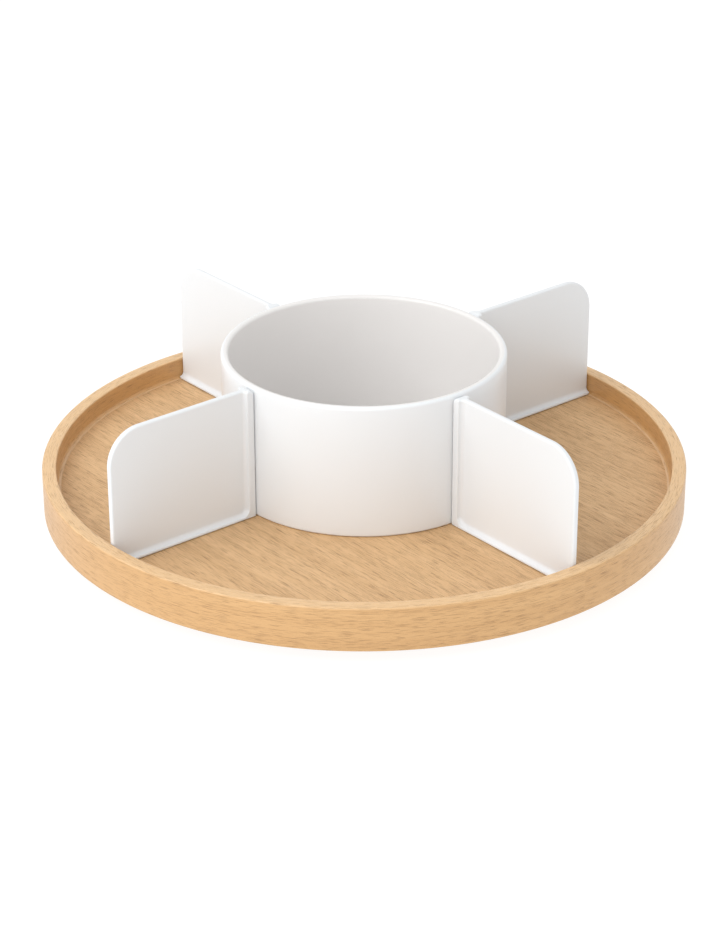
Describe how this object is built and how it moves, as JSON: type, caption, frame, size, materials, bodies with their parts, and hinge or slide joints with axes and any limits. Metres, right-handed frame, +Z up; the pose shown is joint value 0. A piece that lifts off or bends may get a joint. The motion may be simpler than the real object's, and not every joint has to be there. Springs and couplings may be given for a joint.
{
  "type": "lazy susan turntable",
  "caption": "Round wooden turntable tray on a ring bearing, with a removable round plastic bin in the middle and removable dividers that slide onto it.",
  "frame": {"origin": "on the turning axis, on the surface that the rubber feet stand on", "axes": "+Z is up, along the turning axis; +X, +Y, -X and -Y run along the dividers at rest"},
  "size_m": [0.3556, 0.3556, 0.0946],
  "materials": {
    "hoop_wood": "bent hoop, long grain round it, clear satin lacquer",
    "floor_wood": "flat veneered disc, straight grain, clear satin lacquer",
    "bin_plastic": "moulded white plastic, smooth, slightly glossy",
    "divider_plastic": "moulded white plastic, smooth, slightly glossy",
    "base_plastic": "thin fibreboard disc, sealed",
    "foot_rubber": "moulded matt rubber",
    "ring_metal": "turned, fine rings, plain",
    "cage_plastic": "moulded natural nylon",
    "ball_steel": "polished steel",
    "plug_metal": "plain turned",
    "screw_steel": "zinc plated"
  },
  "bodies": {
    "base": {"base_plate": "base_plastic", "foot_1": "foot_rubber", "foot_2": "foot_rubber", "foot_3": "foot_rubber", "foot_4": "foot_rubber", "foot_5": "foot_rubber", "foot_6": "foot_rubber", "bearing_outer_ring": "ring_metal", "ball_filler_plug": "plug_metal", "base_screws": "screw_steel"},
    "tray": {"tray_rim": "hoop_wood", "tray_floor": "floor_wood", "bearing_inner_ring": "ring_metal", "tray_screws": "screw_steel"},
    "cage": {"ball_cage": "cage_plastic", "bearing_balls": "ball_steel"},
    "bin": {"centre_bin": "bin_plastic"},
    "divider_a": {"divider_1": "divider_plastic"},
    "divider_b": {"divider_2": "divider_plastic"},
    "divider_c": {"divider_3": "divider_plastic"},
    "divider_d": {"divider_4": "divider_plastic"}
  },
  "joints": [
    {"name": "tray_spin", "type": "hinge", "parent": "base", "child": "tray", "pos_m": [0, 0, 0.01], "axis": [0, 0, 1], "continuous": true},
    {"name": "cage_spin", "type": "hinge", "parent": "base", "child": "cage", "pos_m": [0, 0, 0.01], "axis": [0, 0, 1], "continuous": true},
    {"name": "bin_lift", "type": "slide", "parent": "tray", "child": "bin", "axis": [0, 0, 1], "range_m": [0, 0.06]},
    {"name": "divider_1_lift", "type": "slide", "parent": "bin", "child": "divider_a", "axis": [0, 0, 1], "range_m": [0, 0.075]},
    {"name": "divider_2_lift", "type": "slide", "parent": "bin", "child": "divider_b", "axis": [0, 0, 1], "range_m": [0, 0.075]},
    {"name": "divider_3_lift", "type": "slide", "parent": "bin", "child": "divider_c", "axis": [0, 0, 1], "range_m": [0, 0.075]},
    {"name": "divider_4_lift", "type": "slide", "parent": "bin", "child": "divider_d", "axis": [0, 0, 1], "range_m": [0, 0.075]}
  ],
  "couplings": [
    {"joint": "cage_spin", "follows": "tray_spin", "ratio": 0.5}
  ]
}
